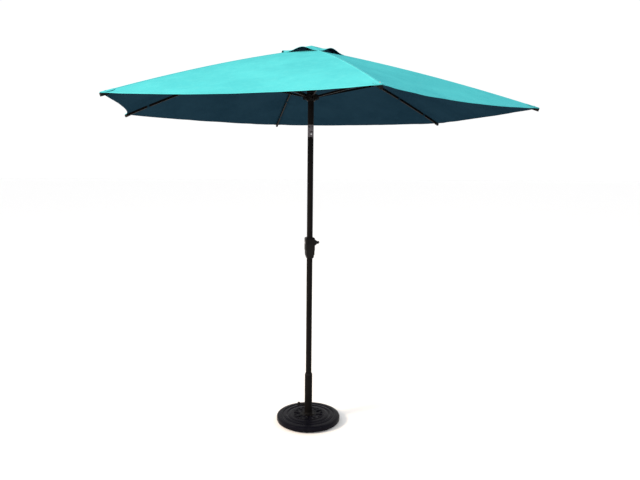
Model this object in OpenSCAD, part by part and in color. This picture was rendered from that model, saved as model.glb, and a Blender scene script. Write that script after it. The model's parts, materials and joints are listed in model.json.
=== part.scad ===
// Crank-and-tilt patio umbrella with a six-rib vented canopy and a round weighted base.
// Millimetres, +Z up. The origin is the centre of the base's underside, on the floor.
// Rib 1 points along -Y and the crank's axle along +X, midway between two ribs.

/* [Canopy] */
// Distance from the pole's axis to a tip of the canopy
canopy_r = 1350; // [1200:10:1450]
// Height of the canopy's tips over the floor
tip_z = 2030.5; // [1990:0.5:2060]
// Height that the straight line of a rib's cloth reaches at the axis
apex_z = 2411.9; // [2380:0.1:2440]
// Upward bow of a rib between its ends
rib_bow = 20.5; // [8:0.5:30]
// Inward curve of each hem between two tips
hem_curve = 55; // [0:1:90]
// Sag of a panel's cloth midway between two ribs
panel_sag = 13; // [0:1:30]
// Radius of the opening at the top of the main canopy
vent_open_r = 130; // [90:5:160]
// Radius of the small top tier at its corners
vent_r = 210; // [180:5:260]
// Rise of the top tier's edge between two corners
vent_rise = 27; // [5:1:40]
// Height of the top tier's crown
crown_z = 2431; // [2428:1:2436]

/* [Pole] */
// Outer diameter of the pole
pole_d = 38; // [36:0.5:38]
// Wall of the pole's tubes
pole_wall = 1.5; // [1.2:0.1:2]
// Height of the tilt joint's pivot
tilt_z = 1922; // [1900:1:1940]
// Height of the crank's axle
crank_z = 1202; // [1190:1:1210]
// Height where the lower pole meets the middle pole
splice_z = 1050; // [1000:5:1060]

/* [Fold] */
// Radius of the runner's pivots from the pole's axis
runner_r = 44; // [42:0.5:46]
// Height of the runner's pivots with the canopy open
runner_z = 2125; // [2120:1:2130]
// Distance from a rib's hub pivot to its stretcher's pivot
bracket_x = 560; // [540:5:580]

/* [Base] */
// Diameter of the base
base_d = 420; // [400:5:460]
// Outer diameter of the base's tube
base_tube_d = 50; // [48:0.5:54]
// Height of the base tube's top over the floor
base_tube_z = 318; // [280:1:340]
// Height of the knob that clamps the pole
knob_z = 105; // [95:1:120]

/* [Hidden] */
$fn = 64;
eps = 0.01;
gap = 0.4;               // room between pieces that move on each other

frame_black = [0.10, 0.09, 0.09];
plastic_black = [0.07, 0.07, 0.08];
cast_black = [0.13, 0.13, 0.15];
joint_grey = [0.45, 0.47, 0.48];
steel = [0.72, 0.73, 0.74];
cord_white = [0.85, 0.85, 0.82];
turquoise = [0.36, 0.84, 0.84];

ribs = 6;
rib_step = 360 / ribs;
cloth_t = 1.2;
cloth_gap = 2.6;         // air between a rib and the cloth's ridge over it
rib_w = 8;
rib_h = 14;
rib_wall = 1;
pin_r = 2;
pin_hole_r = pin_r + 0.05;

// Pole and its tubes
pole_r = pole_d / 2;
bore_r = pole_r - pole_wall;
plug_r = bore_r - 0.05;
cord_r = 1.25;
cord_bore_r = 3.5;

// Cloth over a rib: a straight fall from apex to tip plus the bow
fall = apex_z - tip_z;
bow_z = rib_bow * sqrt(1 + pow(fall / canopy_r, 2));
function cloth_z(r) =
    let (t = r / canopy_r) apex_z - fall * t + 4 * bow_z * t * (1 - t);

// A rib's frame: origin at its hub pivot, x along its chord, z up from the chord
hub_r = 35;
rib_drop = (rib_h / 2 + cloth_gap + cloth_t) / cos(atan(fall / canopy_r));
hub_z = cloth_z(hub_r) - rib_drop;
rib_end_r = canopy_r - 5;
rib_end_z = cloth_z(rib_end_r) - rib_drop;
chord = norm([rib_end_r - hub_r, hub_z - rib_end_z]);
open_angle = atan((hub_z - rib_end_z) / (rib_end_r - hub_r));
rib_arc = chord * chord / (8 * rib_bow) + rib_bow / 2;
function rib_axis_z(x) = rib_bow - rib_arc + sqrt(rib_arc * rib_arc - pow(x - chord / 2, 2));

// Stretcher pivots, in the plane of a rib
bracket_drop = 16;
bracket_y = rib_axis_z(bracket_x) - bracket_drop;
bracket_at = [
    hub_r + bracket_x * cos(open_angle) + bracket_y * sin(open_angle),
    hub_z - bracket_x * sin(open_angle) + bracket_y * cos(open_angle)
];
stretcher_l = norm([bracket_at[0] - runner_r, bracket_at[1] - runner_z]);
stretcher_angle = atan((bracket_at[1] - runner_z) / (bracket_at[0] - runner_r));
blade_r = 5.5;
blade_t = 6;
ear_gap = 9.2;           // between the two ears that hold a blade at the runner
ear_t = 3;

// Tilt joint
knuckle_r = 18;          // rounding of the cheeks and the tongue about the pivot
tongue_w = 18.6;
slot_w = 19.2;
grey_z = tilt_z - 48;    // the bottom of the joint's visible part
head_z = tilt_z + 18.7;
upper_z = tilt_z + 26.7;
tilt_button_z = tilt_z - 29;
pole_top_z = hub_z - 4;

// Crank housing
housing_top = crank_z + 36;
housing_low = crank_z - 100;
housing_w = 31;          // half width
housing_y = 29;          // half depth
housing_wall = 2.6;
drum_r = 12;
shaft_r = 5;
crank_throw = 72;
arm_x = housing_w + 18.7;
arm_drop = 7;            // angle of the arm below straight back

// Top pulley
pulley_r = 11.5;
pulley_z = hub_z + 12;

// Base
base_r = base_d / 2;
plate_z = 46;
tube_r = base_tube_d / 2;
knob_turn = 150;

// ---------- Helpers ----------

// The plane of a rib, x outward and z up
module in_plane(i) rotate([0, 0, rib_step * (i - 1) - 90]) children();

// A rib's frame with the canopy open
module in_rib(i) in_plane(i) translate([hub_r, 0, hub_z]) rotate([0, open_angle, 0]) children();

// A cylinder along y, centred
module cross_pin(r, l) rotate([90, 0, 0]) cylinder(r = r, h = l, center = true);

// A cylinder along x from x0
module shaft_x(r, x0, l) translate([x0, 0, 0]) rotate([0, 90, 0]) cylinder(r = r, h = l);

// A tube along z
module pipe(r, ri, z0, z1)
    translate([0, 0, z0]) difference() {
        cylinder(r = r, h = z1 - z0);
        translate([0, 0, -eps]) cylinder(r = ri, h = z1 - z0 + 2 * eps);
    }

// A round rod between two points
module rod(a, b, r) {
    d = b - a;
    translate(a)
        rotate([0, acos(d[2] / norm(d)), atan2(d[1], d[0])])
            cylinder(r = r, h = norm(d), $fn = 24);
}

// A flat bar along x with round ends at 0 and l, its thickness along y
module link(l, r, t)
    rotate([90, 0, 0]) linear_extrude(height = t, center = true)
        union() {
            circle(r = r);
            translate([l, 0]) circle(r = r);
            translate([0, -r]) square([l, 2 * r]);
        }

// A coil spring along +z, as one swept polyhedron
function coil_ring(r, wire, rise, turns, k, n, m) =
    let (a = 360 * turns * k / n, z = rise * k / n)
    [for (j = [0:m - 1]) let (b = 360 * j / m, q = r + wire * cos(b))
        [q * cos(a), q * sin(a), z + wire * sin(b)]];
module coil(r, wire, rise, turns) {
    n = 12 * turns;
    m = 6;
    points = [for (k = [0:n]) each coil_ring(r, wire, rise, turns, k, n, m)];
    sides = [for (k = [0:n - 1], j = [0:m - 1])
        [k * m + j, (k + 1) * m + j, (k + 1) * m + (j + 1) % m, k * m + (j + 1) % m]];
    start = [for (j = [0:m - 1]) j];
    end = [for (j = [0:m - 1]) n * m + m - 1 - j];
    polyhedron(points = points, faces = concat([start], sides, [end]));
}

// A sheet of cloth over a grid: top(k, j) gives the point of row k and column j
module cloth(top, rows, columns, thick) {
    w = columns + 1;
    half = (rows + 1) * w;
    upper = [for (k = [0:rows], j = [0:columns]) top(k / rows, j / columns)];
    lower = [for (p = upper) p - [0, 0, thick]];
    quads = [for (k = [0:rows - 1], j = [0:columns - 1]) [k * w + j, k * w + j + 1,
        (k + 1) * w + j + 1, (k + 1) * w + j]];
    rim = concat(
        [for (j = [0:columns]) j],
        [for (k = [1:rows]) k * w + columns],
        [for (j = [columns - 1:-1:0]) rows * w + j],
        [for (k = [rows - 1:-1:1]) k * w]
    );
    n = len(rim);
    split = [for (q = quads) each [[q[0], q[1], q[2]], [q[0], q[2], q[3]]]];
    faces = concat(
        [for (f = split) [f[2], f[1], f[0]]],
        [for (f = split) [f[0] + half, f[1] + half, f[2] + half]],
        [for (m = [0:n - 1]) let (a = rim[m], b = rim[(m + 1) % n])
            each [[a, b, b + half], [a, b + half, a + half]]]
    );
    polyhedron(points = concat(upper, lower), faces = faces);
}

// ---------- Base ----------

// The hollow cast disc, with ring steps on its top and webs beneath
module base_disc() color(cast_black) {
    difference() {
        union() {
            rotate_extrude($fn = 128) polygon([
                [0, plate_z - 10], [64, plate_z - 10], [112, plate_z - 12], [160, plate_z - 14],
                [base_r - 22, plate_z - 18], [base_r - 12, plate_z - 26], [base_r - 10, 10],
                [base_r - 3, 10], [base_r, 17], [base_r, 33], [base_r - 3, 39],
                [base_r - 8, 42], [base_r - 18, 44.5], [base_r - 34, 45], [base_r - 38, 41.5],
                [base_r - 44, 41], [base_r - 49, 44.5], [base_r - 62, 46.5],
                [base_r - 68, 42.5], [base_r - 74, 42], [base_r - 79, 45.5],
                [base_r - 96, 48], [base_r - 104, plate_z], [0, plate_z]
            ]);
            for (k = [0:5]) rotate([0, 0, 60 * k + 15])
                translate([40, -3, 14]) cube([base_r - 52, 6, 24]);
            bolt_boss();
        }
        for (k = [0:3]) rotate([0, 0, 90 * k + 45])
            translate([36, 0, 0]) cylinder(r = 3.3, h = 60);
    }
}
module bolt_boss() difference() {
    translate([0, 0, 14]) cylinder(r = 46, h = 24);
    translate([0, 0, 14 - eps]) cylinder(r = 28, h = 20);
}

// Openwork ring of eight leaves round the tube's foot
module base_rosette() color(cast_black) translate([0, 0, plate_z]) {
    linear_extrude(height = 4) difference() { circle(r = 103); circle(r = 98); }
    linear_extrude(height = 5) difference() { circle(r = 56); circle(r = 51); }
    for (k = [0:7]) rotate([0, 0, 45 * k + 22.5]) {
        linear_extrude(height = 6) difference() {
            leaf(54, 99, 34);
            leaf(61, 92, 30);
        }
        linear_extrude(height = 7.5) leaf(66, 87, 24);
        rotate([0, 0, 22.5]) translate([88, 0, 0]) linear_extrude(height = 5)
            difference() { circle(r = 9); circle(r = 5); }
    }
}
// A pointed leaf from radius a to b, as the overlap of two circles of radius r
module leaf(a, b, r) {
    half = (b - a) / 2;
    off = sqrt(r * r - half * half);
    translate([(a + b) / 2, 0]) intersection() {
        translate([0, off]) circle(r = r);
        translate([0, -off]) circle(r = r);
    }
}

// Steel tube welded to a bolted flange, with a skirt and a threaded boss
module base_tube() color(frame_black) difference() {
    union() {
        cylinder_at(tube_r, plate_z + eps, base_tube_z);
        cylinder_at(46, plate_z + eps, plate_z + 5);
        translate([0, 0, plate_z + 5]) cylinder(r1 = tube_r + 6, r2 = tube_r, h = 13);
        knob_axis() rotate([0, 90, 0]) cylinder(r = 9, h = tube_r + 9);
    }
    translate([0, 0, plate_z - 1]) cylinder(r = tube_r - 2, h = base_tube_z);
    for (k = [0:3]) rotate([0, 0, 90 * k + 45]) translate([36, 0, 0]) cylinder(r = 3.3, h = 60);
    knob_axis() rotate([0, 90, 0]) cylinder(r = 4.05, h = 60);
}
module cylinder_at(r, z0, z1) translate([0, 0, z0]) cylinder(r = r, h = z1 - z0);
module knob_axis() translate([0, 0, knob_z]) rotate([0, 0, knob_turn]) children();

// Plastic sleeve that guides the pole, with a stepped cap on the tube's rim
module base_collar() color(plastic_black) rotate_extrude() polygon([
    [pole_r + gap, base_tube_z - 60], [tube_r - 2, base_tube_z - 60], [tube_r - 2, base_tube_z],
    [tube_r, base_tube_z], [tube_r, base_tube_z + 4], [tube_r - 2.5, base_tube_z + 7],
    [tube_r - 3, base_tube_z + 11], [pole_r + gap, base_tube_z + 12.5]
]);

// Four hexagon bolts with nuts under the plate
module base_bolts() color(steel)
    for (k = [0:3]) rotate([0, 0, 90 * k + 45]) translate([36, 0, 0]) {
        translate([0, 0, plate_z + 5]) cylinder(r = 6, h = 4, $fn = 6);
        translate([0, 0, 8]) cylinder(r = 3.2, h = plate_z - 2);
        translate([0, 0, 9]) cylinder(r = 6, h = 5, $fn = 6);
    }

// Six rubber feet under the rim's webs
module base_feet() color(plastic_black)
    for (k = [0:5]) rotate([0, 0, 60 * k + 15]) translate([base_r - 32, 0, 0])
        difference() {
            cylinder(r1 = 11, r2 = 14, h = 20);
            translate([-20, -3, 14]) cube([40, 6, 10]);
        }

// Clamp screw with a lobed knob
module clamp_knob() color(plastic_black) knob_axis() rotate([0, 90, 0]) {
    translate([0, 0, pole_r + gap]) cylinder(r = 4, h = 40);
    translate([0, 0, 58]) cylinder(r = 7, h = 4);
    translate([0, 0, 61]) linear_extrude(height = 13) union() {
        circle(r = 11);
        for (k = [0:5]) rotate(60 * k) translate([9.5, 0]) circle(r = 4.5);
    }
    translate([0, 0, 74]) cylinder(r1 = 9, r2 = 7, h = 2);
}

// ---------- Pole ----------

module pole_foot() color(plastic_black) {
    cylinder_at(pole_r, plate_z + gap, plate_z + 5);
    cylinder_at(plug_r, plate_z + 5 - eps, plate_z + 30);
}

module lower_pole() color(frame_black) pipe(pole_r, bore_r, plate_z + 5, splice_z);

// Inner sleeve that joins the lower pole to the middle pole
module pole_coupler() color(steel) difference() {
    pipe(plug_r, plug_r - 1.5, splice_z - 60, splice_z + 44);
    translate([0, 0, splice_z + 22]) rotate([-90, 0, 0]) cylinder(r = 4.6, h = 30);
}

// Spring button on the back of the splice
module snap_button() color(steel) translate([0, 0, splice_z + 22]) rotate([-90, 0, 0]) {
    translate([0, 0, bore_r - 6]) cylinder(r = 4.2, h = 9.3);
    translate([0, 0, bore_r + 3.3]) intersection() {
        translate([0, 0, -4.6]) sphere(r = 6.2);
        cylinder(r = 4.2, h = 4);
    }
    translate([0, 0, bore_r - 7]) cylinder(r = 6, h = 1.5);
}

// Folded leaf spring behind the button
module snap_spring() color(steel) translate([0, 0, splice_z + 22]) {
    translate([-4, bore_r - 8.6, -34]) cube([8, 1.2, 42]);
    translate([-4, -8, -34]) cube([8, 1.2, 24]);
    translate([-4, -8, -35.2]) cube([8, bore_r + 0.6, 1.2]);
}

module mid_pole() color(frame_black) difference() {
    pipe(pole_r, bore_r, splice_z, grey_z);
    translate([0, 0, splice_z + 22]) rotate([-90, 0, 0]) cylinder(r = 4.6, h = 30);
    translate([0, 0, crank_z]) rotate([0, 90, 0]) cylinder(r = 8, h = 60, center = true);
}

// ---------- Crank ----------

// Outline of the housing seen from the front, widened by w
module housing_front_shape(w) polygon([
    [-20 - w, housing_low - w], [20 + w, housing_low - w], [27 + w, housing_low + 26],
    [27.5 + w, housing_low + 50], [housing_w + w, housing_low + 55],
    [housing_w + w, housing_top - 12], [housing_w - 3 + w, housing_top - 5],
    [housing_w - 10 + w, housing_top + w], [-housing_w + 10 - w, housing_top + w],
    [-housing_w + 3 - w, housing_top - 5], [-housing_w - w, housing_top - 12],
    [-housing_w - w, housing_low + 55], [-27.5 - w, housing_low + 50],
    [-27 - w, housing_low + 26]
]);
// Outline seen from the side
module housing_side_shape(w) polygon([
    [-21 - w, housing_low - w], [21 + w, housing_low - w], [housing_y - 3 + w, housing_low + 40],
    [housing_y + w, housing_low + 62], [housing_y + w, housing_top - 14],
    [housing_y - 8 + w, housing_top + w], [-housing_y + 8 - w, housing_top + w],
    [-housing_y - w, housing_top - 14], [-housing_y - w, housing_low + 62],
    [-housing_y + 3 - w, housing_low + 40]
]);
// Plan of the housing with round corners
module housing_plan(w) {
    c = 12;
    x = housing_w + w;
    y = housing_y + w;
    union() {
        square([2 * x - 2 * c, 2 * y], center = true);
        square([2 * x, 2 * y - 2 * c], center = true);
        for (sx = [-1, 1], sy = [-1, 1]) translate([sx * (x - c), sy * (y - c)]) circle(r = c);
    }
}
module housing_solid(w) intersection() {
    rotate([90, 0, 0]) linear_extrude(height = 100, center = true) housing_front_shape(w);
    rotate([90, 0, 90]) linear_extrude(height = 100, center = true) housing_side_shape(w);
    translate([0, 0, housing_low - 10]) linear_extrude(height = 200) housing_plan(w);
}
// One half of the housing; side is -1 for the front and 1 for the back
module housing_half(side) difference() {
    intersection() {
        difference() {
            housing_solid(0);
            difference() {
                housing_solid(-housing_wall);
                cylinder_at(24, housing_low - 10, housing_low + 8);
                cylinder_at(24, housing_top - 9, housing_top + 5);
                for (k = [-1, 1], z = [18, 84]) translate([k * 23.5, 0, housing_low + z])
                    rotate([90, 0, 0]) cylinder(r = 3.4, h = 100, center = true);
            }
        }
        translate([-50, side < 0 ? -60 : 0.05, housing_low - 10]) cube([100, 59.95, 200]);
    }
    cylinder_at(pole_r, housing_low - 20, housing_top + 20);
    translate([0, 0, crank_z]) rotate([0, 90, 0]) cylinder(r = 9, h = 120, center = true);
    for (k = [-1, 1], z = [18, 84]) translate([k * 23.5, 0, housing_low + z])
        rotate([-90, 0, 0]) {
            translate([0, 0, -60]) cylinder(r = 1.6, h = 120);
            translate([0, 0, 18]) cylinder(r = 3, h = 60);
        }
}
module housing_front() color(plastic_black) housing_half(-1);
module housing_back() color(plastic_black) housing_half(1);

// Four screws driven from the back
module housing_screws() color(steel)
    for (k = [-1, 1], z = [18, 84]) translate([k * 23.5, 0, housing_low + z])
        rotate([-90, 0, 0]) difference() {
            union() {
                translate([0, 0, -12]) cylinder(r = 1.6, h = 32);
                translate([0, 0, 18]) cylinder(r = 2.9, h = 2.4);
            }
            translate([0, 0, 19.4]) cube([4, 0.9, 3], center = true);
            translate([0, 0, 19.4]) cube([0.9, 4, 3], center = true);
        }

// Flanged bushes that carry the crank's axle, one in each side of the housing
module crank_bushes() color(joint_grey) translate([0, 0, crank_z])
    for (s = [-1, 1]) rotate([0, 0, s < 0 ? 180 : 0]) difference() {
        union() {
            shaft_x(9, housing_w - housing_wall, housing_wall);
            shaft_x(7.9, 18, housing_w - housing_wall - 18 + eps);
            shaft_x(13, housing_w, 1.2);
        }
        shaft_x(shaft_r + 0.05, 10, 40);
    }

// Cord drum inside the pole, on the crank's axle
module crank_spool() color(steel) translate([0, 0, crank_z]) {
    shaft_x(drum_r, -7, 14);
    shaft_x(14.4, -9, 2);
    shaft_x(14.4, 7, 2);
    shaft_x(shaft_r, -31.8, 22.8 + eps);
    shaft_x(shaft_r, 9 - eps, 48);
}

// Cone-shaped hub outside the housing
module crank_hub() color(plastic_black) translate([0, 0, crank_z]) rotate([0, 90, 0])
    difference() {
        union() {
            translate([0, 0, housing_w + 1.6]) cylinder(r = 20, h = 3);
            translate([0, 0, housing_w + 4.6 - eps]) cylinder(r1 = 20, r2 = 8.5, h = 14);
        }
        cylinder(r = shaft_r, h = 60);
    }

// Where the arm lies in the plane across the axle
module in_arm() translate([0, 0, crank_z]) rotate([-arm_drop, 0, 0]) children();
// Flat arm from the axle to the grip's pin, pointing back
module crank_arm() color(frame_black) in_arm() translate([arm_x, 0, 0]) rotate([0, 90, 0]) {
    difference() {
        linear_extrude(height = 6) union() {
            circle(r = 9);
            translate([0, crank_throw]) circle(r = 7.5);
            polygon([[-7, 0], [7, 0], [5.5, crank_throw], [-5.5, crank_throw]]);
        }
        translate([0, 0, -1]) cylinder(r = shaft_r, h = 10);
    }
    translate([0, crank_throw, 6 - eps]) cylinder(r = 3.5, h = 22);
    translate([0, crank_throw, 28 - 2 * eps]) cylinder(r = 5.2, h = 1.6);
}

// Grip that turns on the arm's pin
module crank_grip() color(plastic_black) in_arm()
    translate([arm_x + 6.3, crank_throw, 0]) rotate([0, 90, 0]) difference() {
        rotate_extrude() polygon([
            [0, 0], [7, 0], [8.4, 2], [8.6, 7], [8, 13], [9, 18], [8.4, 20.8], [6.6, 21.4],
            [0, 21.4]
        ]);
        translate([0, 0, -1]) cylinder(r = 3.58, h = 30);
    }

// ---------- Tilt joint ----------

// Lower half: a plug in the middle pole and two cheeks round the pivot
module tilt_socket() color(joint_grey) difference() {
    union() {
        cylinder_at(plug_r, grey_z - 40, grey_z + eps);
        cylinder_at(pole_r, grey_z, tilt_z);
        intersection() {
            cylinder_at(pole_r, grey_z, tilt_z + 30);
            translate([0, 0, tilt_z]) rotate([0, 90, 0])
                cylinder(r = knuckle_r, h = 60, center = true);
        }
    }
    translate([-slot_w / 2, -30, tilt_z - knuckle_r - 0.6]) cube([slot_w, 60, 60]);
    cylinder_at(cord_bore_r, grey_z - 50, tilt_z);
    translate([0, 0, tilt_z]) shaft_x(pin_r + 1.05, -30, 60);
    translate([0, -9, tilt_button_z]) rotate([90, 0, 0]) cylinder(r = 5.8, h = 20);
    translate([0, 0, tilt_button_z]) rotate([90, 0, 0]) cylinder(r = 2.5, h = 20);
}

// Upper half: a tongue between the cheeks and a plug in the upper pole
module tilt_head() color(joint_grey) difference() {
    union() {
        cylinder_at(pole_r, head_z, upper_z);
        cylinder_at(plug_r, upper_z - eps, upper_z + 36);
        intersection() {
            cylinder_at(pole_r, tilt_z - 30, head_z + 1);
            translate([-tongue_w / 2, -30, tilt_z]) cube([tongue_w, 60, 40]);
        }
        intersection() {
            translate([0, 0, tilt_z]) shaft_x(knuckle_r, -tongue_w / 2, tongue_w);
            cylinder_at(pole_r, tilt_z - 30, tilt_z + 30);
        }
    }
    cylinder_at(cord_bore_r, tilt_z - 30, upper_z + 40);
    cord_fan();
    translate([0, 0, tilt_z]) shaft_x(pin_r + 1, -30, 60);
}
// Room in the tongue for the cord, which stays upright while the head leans
module cord_fan() translate([0, 0, tilt_z]) rotate([90, 0, 90])
    linear_extrude(height = 2 * cord_bore_r, center = true) polygon([
        [cord_bore_r, 0], [-cord_bore_r, 0], [-cord_bore_r - 30 * tan(32), -30], [cord_bore_r, -30]
    ]);

// Two short pins, one on each side, that leave the middle clear for the cord
module tilt_pins() color(steel) translate([0, 0, tilt_z])
    for (s = [0, 180]) rotate([0, 0, s]) shaft_x(pin_r + 1, 4.4, pole_r - 4.8);

// Push button on the front of the joint
module tilt_button() color(steel) translate([0, 0, tilt_button_z]) rotate([90, 0, 0]) {
    translate([0, 0, 15]) cylinder(r = 5.4, h = 4);
    translate([0, 0, 19 - eps]) intersection() {
        cylinder(r = 5.4, h = 1);
        translate([0, 0, -18.6]) sphere(r = 19.6);
    }
    translate([0, 0, 6.6]) cylinder(r = 2.2, h = 8.5);
}
module tilt_spring() color(steel) translate([0, -9.6, tilt_button_z]) rotate([90, 0, 0])
    coil(3.9, 0.45, 4.8, 4);

// ---------- Upper pole and hub ----------

module upper_pole() color(frame_black) pipe(pole_r, bore_r, upper_z, pole_top_z);

// Where the pulley's slot lies, towards -X, between two ribs
module in_pulley() translate([-pulley_r, 0, pulley_z]) children();

// Slotted crown that carries the ribs
module top_hub() color(plastic_black) difference() {
    union() {
        cylinder_at(43, hub_z - 12, hub_z + 9);
        cylinder_at(25, hub_z - 30, hub_z - 12 + eps);
        cylinder_at(27, hub_z + 9 - eps, pulley_z + 7);
    }
    cylinder_at(pole_r, hub_z - 40, pole_top_z);
    for (i = [1:ribs]) in_plane(i) {
        translate([27, -rib_w / 2 - 0.6, hub_z - 20]) cube([30, rib_w + 1.2, 40]);
        translate([hub_r, 0, hub_z]) cross_pin(pin_r, 22);
    }
    translate([-29, -4, hub_z - 8]) cube([33, 8, 40]);
    in_pulley() cross_pin(pin_r, 28);
    cylinder_at(cord_bore_r, hub_z - 20, hub_z + 20);
    translate([-2 * pulley_r, 0, hub_z - 60]) cylinder(r = 2.6, h = 70);
}

// Six rib pins and the pulley's axle
module hub_pins() color(steel) {
    for (i = [1:ribs]) in_plane(i) translate([hub_r, 0, hub_z]) cross_pin(pin_r, 22);
    in_pulley() cross_pin(pin_r, 28);
}

// Grooved wheel that turns the cord over the pole's top
module pulley() color(joint_grey) in_pulley() rotate([90, 0, 0]) difference() {
    rotate_extrude() polygon([
        [0, -3.4], [pulley_r + 1.6, -3.4], [pulley_r + 1.6, -2.6], [pulley_r - 1.7, -1],
        [pulley_r - 1.7, 1], [pulley_r + 1.6, 2.6], [pulley_r + 1.6, 3.4], [0, 3.4]
    ]);
    cylinder(r = pin_hole_r, h = 20, center = true);
}

// Low cap over the hub, under the canopy's crown
module crown_cap() color(plastic_black) difference() {
    union() {
        translate([0, 0, pulley_z + 7]) cylinder(r1 = 30, r2 = 24, h = 6.5);
        cylinder_at(24, pulley_z + 13.4, pulley_z + 15.8);
    }
    translate([-26, -4.6, pulley_z]) cube([34, 9.2, 14.6]);
}

// ---------- Lift cord ----------

module lift_cord_lower() color(cord_white)
    rod([0, -drum_r - cord_r, crank_z + 1], [0, 0, tilt_z - 0.8], cord_r);
module lift_cord_upper() color(cord_white) {
    cylinder_at(cord_r, tilt_z + 0.8, pulley_z);
    in_pulley() rotate([90, 0, 0]) rotate_extrude(angle = 180)
        translate([pulley_r, 0]) circle(r = cord_r - 0.3, $fn = 24);
}
// Outside the pole, from the pulley down to the runner
module lift_cord_outer() color(cord_white)
    translate([-2 * pulley_r, 0, 0]) cylinder_at(cord_r - 0.05, runner_z + 37.4, pulley_z);

// ---------- Runner and stretchers ----------

// Sliding collar with six pairs of ears; each pair's grooves are open below
module runner() color(plastic_black) difference() {
    union() {
        cylinder_at(25.5, runner_z - 30, runner_z + 37);
        cylinder_at(29, runner_z - 14, runner_z + 12);
        cylinder_at(27.5, runner_z + 31, runner_z + 37);
        for (i = [1:ribs]) in_plane(i) translate([0, 0, runner_z])
            for (s = [-1, 1]) translate([0, s * (ear_gap + ear_t) / 2, 0])
                rotate([90, 0, 0]) linear_extrude(height = ear_t, center = true) polygon([
                    [22, -26], [36, -22], [47, -22], [50, -16], [50, 4], [45, 10], [22, 16]
                ]);
    }
    cylinder_at(pole_r + 1.4, runner_z - 40, runner_z + 50);
    for (i = [1:ribs]) in_plane(i) translate([0, 0, runner_z]) {
        translate([30.5, -ear_gap / 2, -40]) cube([30, ear_gap, 80]);
        translate([runner_r, 0, 0]) cross_pin(pin_r + 0.4, 40);
        translate([runner_r - pin_r - 1.2, -20, -40]) cube([2 * pin_r + 1.6, 40, 40]);
    }
}

// Square tube with a blade at each end; the inner blade carries the runner's pin
module stretcher(i) color(frame_black) in_plane(i) translate([runner_r, 0, runner_z])
    rotate([0, -stretcher_angle, 0]) difference() {
        union() {
            difference() {
                translate([12, -rib_w / 2, -6]) cube([stretcher_l - 26, rib_w, 12]);
                translate([30, -rib_w / 2 + rib_wall, -6 + rib_wall])
                    cube([stretcher_l - 62, rib_w - 2 * rib_wall, 12 - 2 * rib_wall]);
            }
            link(20, blade_r, blade_t);
            translate([stretcher_l - 20, 0, 0]) link(20, blade_r, blade_t);
            cross_pin(pin_r, ear_gap + 2 * ear_t - 0.4);
        }
        translate([stretcher_l, 0, 0]) cross_pin(pin_hole_r, 20);
    }

// ---------- Ribs ----------

// Side outline of a bowed bar of height h, from x0 to x1 in the rib's frame
function bow_outline(h, x0, x1, n) =
    let (xs = [for (k = [0:n]) x0 + (x1 - x0) * k / n])
    concat(
        [for (x = xs) [x, rib_axis_z(x) - h / 2]],
        [for (k = [n:-1:0]) [xs[k], rib_axis_z(xs[k]) + h / 2]]
    );

// Bowed rectangular tube with an eye at the hub
module rib(i) color(frame_black) in_rib(i) {
    rotate([90, 0, 0]) difference() {
        linear_extrude(height = rib_w, center = true)
            polygon(bow_outline(rib_h, 12, chord - 6, 18));
        linear_extrude(height = rib_w - 2 * rib_wall, center = true)
            polygon(bow_outline(rib_h - 2 * rib_wall, 28, chord - 5, 18));
    }
    difference() {
        link(20, 6, rib_w - 2 * rib_wall);
        cross_pin(pin_hole_r, 20);
    }
}

// Bracket with its pin, and the cap at the rib's tip
module rib_fittings(i) color(plastic_black) in_rib(i) {
    translate([bracket_x, 0, 0]) {
        difference() {
            translate([0, 0, bracket_y]) rotate([90, 0, 0])
                linear_extrude(height = rib_w + 4, center = true) union() {
                    circle(r = 7);
                    polygon([[-7, 0], [7, 0], [14, 14], [14, 20], [-14, 20], [-14, 14]]);
                }
            translate([-20, -rib_w / 2 - eps, -20]) cube([40, rib_w + 2 * eps, 80]);
        }
        translate([0, 0, bracket_y]) cross_pin(pin_r, rib_w + 5);
    }
    translate([chord, 0, 0]) rotate([0, slope_at_end, 0]) difference() {
        translate([-34, -6.5, -rib_h / 2 - 2]) cube([36, 13, rib_h + 2.2]);
        translate([-40, -rib_w / 2 - eps, -rib_h / 2 - 0.4]) cube([35, rib_w + 2 * eps, rib_h + 3]);
    }
}
slope_at_end = asin(chord / 2 / rib_arc);

// ---------- Canopy ----------

// A point of one panel: t runs from the vent to the hem, u from one rib to the next
function between(a, b, u) = a + (b - a) * u;
function panel_edge(r, side) =
    [r * cos(rib_step / 2), side * (r * sin(rib_step / 2) - gap), cloth_z(r)];
function gore_point(t, u) =
    let (
        r = vent_open_r + (canopy_r - vent_open_r) * t,
        arch = 4 * u * (1 - u),
        a = panel_edge(r, -1),
        b = panel_edge(r, 1),
        p = between(a, b, u)
    )
    [p[0] - hem_curve * arch * t * t, p[1],
        p[2] - panel_sag * arch * sin(90 * min(t / 0.8, 1))];
module canopy_gore(i) color(turquoise) rotate([0, 0, rib_step * (i - 0.5) - 90])
    cloth(function (t, u) gore_point(t, u), 14, 10, cloth_t);

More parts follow.
